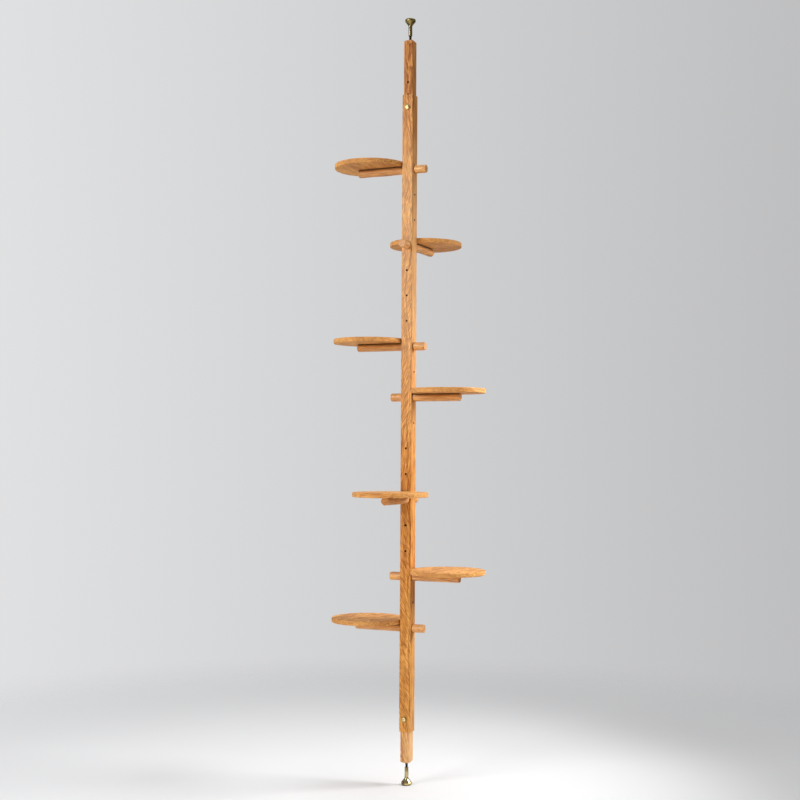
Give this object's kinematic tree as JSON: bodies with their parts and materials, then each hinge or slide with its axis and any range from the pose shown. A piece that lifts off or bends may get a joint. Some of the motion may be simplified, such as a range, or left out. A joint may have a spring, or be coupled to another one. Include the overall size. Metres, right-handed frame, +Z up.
{
  "type": "cat tree",
  "caption": "Floor-to-ceiling oak cat pole: round shelves on round arms clamped by wooden knobs, sliding end poles with lock screws, brass screw-jack feet.",
  "frame": {"origin": "on the floor, on the main pole's axis, which is the centre of the bounding box's bottom", "axes": "+Z up along the pole; -Y is the face with the lock screws; +X and -X are the faces that carry most shelves"},
  "size_m": [0.627, 0.627, 3.008],
  "materials": {
    "oak_post": "satin varnish",
    "oak_plate": "satin varnish",
    "oak_round": "satin varnish",
    "brass": "polished",
    "aged_brass": "dull",
    "black_rod": "blackened",
    "zinc_steel": "zinc plated",
    "rubber": "matt"
  },
  "bodies": {
    "main_pole": {"main_pole": "oak_post", "lock_bushes": "aged_brass"},
    "lower_pole": {"lower_pole": "oak_post", "lower_insert": "aged_brass"},
    "lower_pad": {"lower_pad": "rubber"},
    "lower_foot": {"lower_foot": "brass", "lower_rod": "black_rod"},
    "lower_lock_washer": {"lower_lock_washer": "aged_brass"},
    "lower_lock_screw": {"lower_lock_screw": "brass"},
    "upper_pole": {"upper_pole": "oak_post", "upper_insert": "aged_brass"},
    "upper_pad": {"upper_pad": "rubber"},
    "upper_foot": {"upper_foot": "brass", "upper_rod": "black_rod"},
    "upper_lock_washer": {"upper_lock_washer": "aged_brass"},
    "upper_lock_screw": {"upper_lock_screw": "brass"},
    "shelf_1": {"plate_1": "oak_plate", "arm_1": "oak_round", "fixings_1": "zinc_steel"},
    "knob_washer_1": {"knob_washer_1": "zinc_steel"},
    "knob_1": {"knob_1": "oak_round", "knob_insert_1": "aged_brass"},
    "shelf_2": {"plate_2": "oak_plate", "arm_2": "oak_round", "fixings_2": "zinc_steel"},
    "knob_washer_2": {"knob_washer_2": "zinc_steel"},
    "knob_2": {"knob_2": "oak_round", "knob_insert_2": "aged_brass"},
    "shelf_3": {"plate_3": "oak_plate", "arm_3": "oak_round", "fixings_3": "zinc_steel"},
    "knob_washer_3": {"knob_washer_3": "zinc_steel"},
    "knob_3": {"knob_3": "oak_round", "knob_insert_3": "aged_brass"},
    "shelf_4": {"plate_4": "oak_plate", "arm_4": "oak_round", "fixings_4": "zinc_steel"},
    "knob_washer_4": {"knob_washer_4": "zinc_steel"},
    "knob_4": {"knob_4": "oak_round", "knob_insert_4": "aged_brass"},
    "shelf_5": {"plate_5": "oak_plate", "arm_5": "oak_round", "fixings_5": "zinc_steel"},
    "knob_washer_5": {"knob_washer_5": "zinc_steel"},
    "knob_5": {"knob_5": "oak_round", "knob_insert_5": "aged_brass"},
    "shelf_6": {"plate_6": "oak_plate", "arm_6": "oak_round", "fixings_6": "zinc_steel"},
    "knob_washer_6": {"knob_washer_6": "zinc_steel"},
    "knob_6": {"knob_6": "oak_round", "knob_insert_6": "aged_brass"},
    "shelf_7": {"plate_7": "oak_plate", "arm_7": "oak_round", "fixings_7": "zinc_steel"},
    "knob_washer_7": {"knob_washer_7": "zinc_steel"},
    "knob_7": {"knob_7": "oak_round", "knob_insert_7": "aged_brass"}
  },
  "joints": [
    {"name": "lower_pole_slide", "type": "slide", "parent": "main_pole", "child": "lower_pole", "axis": [0, 0, -1], "range_m": [0, 0.2]},
    {"name": "lower_jack_travel", "type": "slide", "parent": "lower_pole", "child": "lower_pad", "axis": [0, 0, -1], "range_m": [-0.012, 0.03]},
    {"name": "lower_foot_turn", "type": "hinge", "parent": "lower_pad", "child": "lower_foot", "pos_m": [0, 0, 0], "axis": [0, 0, -1], "range_deg": [-2880, 7200]},
    {"name": "lower_lock_travel", "type": "slide", "parent": "main_pole", "child": "lower_lock_washer", "axis": [0, 1, 0], "range_m": [0, 0.005]},
    {"name": "lower_lock_turn", "type": "hinge", "parent": "lower_lock_washer", "child": "lower_lock_screw", "pos_m": [0, -0.023, 0.256], "axis": [0, 1, 0], "range_deg": [0, 1440]},
    {"name": "upper_pole_slide", "type": "slide", "parent": "main_pole", "child": "upper_pole", "axis": [0, 0, 1], "range_m": [-0.1, 0.1]},
    {"name": "upper_jack_travel", "type": "slide", "parent": "upper_pole", "child": "upper_pad", "axis": [0, 0, 1], "range_m": [-0.012, 0.03]},
    {"name": "upper_foot_turn", "type": "hinge", "parent": "upper_pad", "child": "upper_foot", "pos_m": [0, 0, 3.008], "axis": [0, 0, 1], "range_deg": [-2880, 7200]},
    {"name": "upper_lock_travel", "type": "slide", "parent": "main_pole", "child": "upper_lock_washer", "axis": [0, 1, 0], "range_m": [0, 0.005]},
    {"name": "upper_lock_turn", "type": "hinge", "parent": "upper_lock_washer", "child": "upper_lock_screw", "pos_m": [0, -0.023, 2.652], "axis": [0, 1, 0], "range_deg": [0, 1440]},
    {"name": "shelf_1_tilt", "type": "hinge", "parent": "main_pole", "child": "shelf_1", "pos_m": [0, 0, 0.606], "axis": [-1, 0, 0], "continuous": true},
    {"name": "knob_1_travel", "type": "slide", "parent": "main_pole", "child": "knob_washer_1", "axis": [1, 0, 0], "range_m": [0, 0.02]},
    {"name": "knob_1_turn", "type": "hinge", "parent": "knob_washer_1", "child": "knob_1", "pos_m": [0.023, 0, 0.606], "axis": [1, 0, 0], "range_deg": [0, 5760]},
    {"name": "shelf_2_tilt", "type": "hinge", "parent": "main_pole", "child": "shelf_2", "pos_m": [0, 0, 0.806], "axis": [1, 0, 0], "continuous": true},
    {"name": "knob_2_travel", "type": "slide", "parent": "main_pole", "child": "knob_washer_2", "axis": [-1, 0, 0], "range_m": [0, 0.02]},
    {"name": "knob_2_turn", "type": "hinge", "parent": "knob_washer_2", "child": "knob_2", "pos_m": [-0.023, 0, 0.806], "axis": [-1, 0, 0], "range_deg": [0, 5760]},
    {"name": "shelf_3_tilt", "type": "hinge", "parent": "main_pole", "child": "shelf_3", "pos_m": [0, 0, 1.106], "axis": [0, -1, 0], "continuous": true},
    {"name": "knob_3_travel", "type": "slide", "parent": "main_pole", "child": "knob_washer_3", "axis": [0, 1, 0], "range_m": [0, 0.02]},
    {"name": "knob_3_turn", "type": "hinge", "parent": "knob_washer_3", "child": "knob_3", "pos_m": [0, 0.023, 1.106], "axis": [0, 1, 0], "range_deg": [0, 5760]},
    {"name": "shelf_4_tilt", "type": "hinge", "parent": "main_pole", "child": "shelf_4", "pos_m": [0, 0, 1.506], "axis": [1, 0, 0], "continuous": true},
    {"name": "knob_4_travel", "type": "slide", "parent": "main_pole", "child": "knob_washer_4", "axis": [-1, 0, 0], "range_m": [0, 0.02]},
    {"name": "knob_4_turn", "type": "hinge", "parent": "knob_washer_4", "child": "knob_4", "pos_m": [-0.023, 0, 1.506], "axis": [-1, 0, 0], "range_deg": [0, 5760]},
    {"name": "shelf_5_tilt", "type": "hinge", "parent": "main_pole", "child": "shelf_5", "pos_m": [0, 0, 1.706], "axis": [-1, 0, 0], "continuous": true},
    {"name": "knob_5_travel", "type": "slide", "parent": "main_pole", "child": "knob_washer_5", "axis": [1, 0, 0], "range_m": [0, 0.02]},
    {"name": "knob_5_turn", "type": "hinge", "parent": "knob_washer_5", "child": "knob_5", "pos_m": [0.023, 0, 1.706], "axis": [1, 0, 0], "range_deg": [0, 5760]},
    {"name": "shelf_6_tilt", "type": "hinge", "parent": "main_pole", "child": "shelf_6", "pos_m": [0, 0, 2.106], "axis": [0, 1, 0], "continuous": true},
    {"name": "knob_6_travel", "type": "slide", "parent": "main_pole", "child": "knob_washer_6", "axis": [0, -1, 0], "range_m": [0, 0.02]},
    {"name": "knob_6_turn", "type": "hinge", "parent": "knob_washer_6", "child": "knob_6", "pos_m": [0, -0.023, 2.106], "axis": [0, -1, 0], "range_deg": [0, 5760]},
    {"name": "shelf_7_tilt", "type": "hinge", "parent": "main_pole", "child": "shelf_7", "pos_m": [0, 0, 2.406], "axis": [-1, 0, 0], "continuous": true},
    {"name": "knob_7_travel", "type": "slide", "parent": "main_pole", "child": "knob_washer_7", "axis": [1, 0, 0], "range_m": [0, 0.02]},
    {"name": "knob_7_turn", "type": "hinge", "parent": "knob_washer_7", "child": "knob_7", "pos_m": [0.023, 0, 2.406], "axis": [1, 0, 0], "range_deg": [0, 5760]}
  ],
  "couplings": [
    {"joint": "lower_jack_travel", "follows": "lower_foot_turn", "m_per_rad": 0.00023873},
    {"joint": "lower_lock_travel", "follows": "lower_lock_turn", "m_per_rad": 0.00019894},
    {"joint": "upper_jack_travel", "follows": "upper_foot_turn", "m_per_rad": 0.00023873},
    {"joint": "upper_lock_travel", "follows": "upper_lock_turn", "m_per_rad": 0.00019894},
    {"joint": "knob_1_travel", "follows": "knob_1_turn", "m_per_rad": 0.00019894},
    {"joint": "knob_2_travel", "follows": "knob_2_turn", "m_per_rad": 0.00019894},
    {"joint": "knob_3_travel", "follows": "knob_3_turn", "m_per_rad": 0.00019894},
    {"joint": "knob_4_travel", "follows": "knob_4_turn", "m_per_rad": 0.00019894},
    {"joint": "knob_5_travel", "follows": "knob_5_turn", "m_per_rad": 0.00019894},
    {"joint": "knob_6_travel", "follows": "knob_6_turn", "m_per_rad": 0.00019894},
    {"joint": "knob_7_travel", "follows": "knob_7_turn", "m_per_rad": 0.00019894}
  ]
}
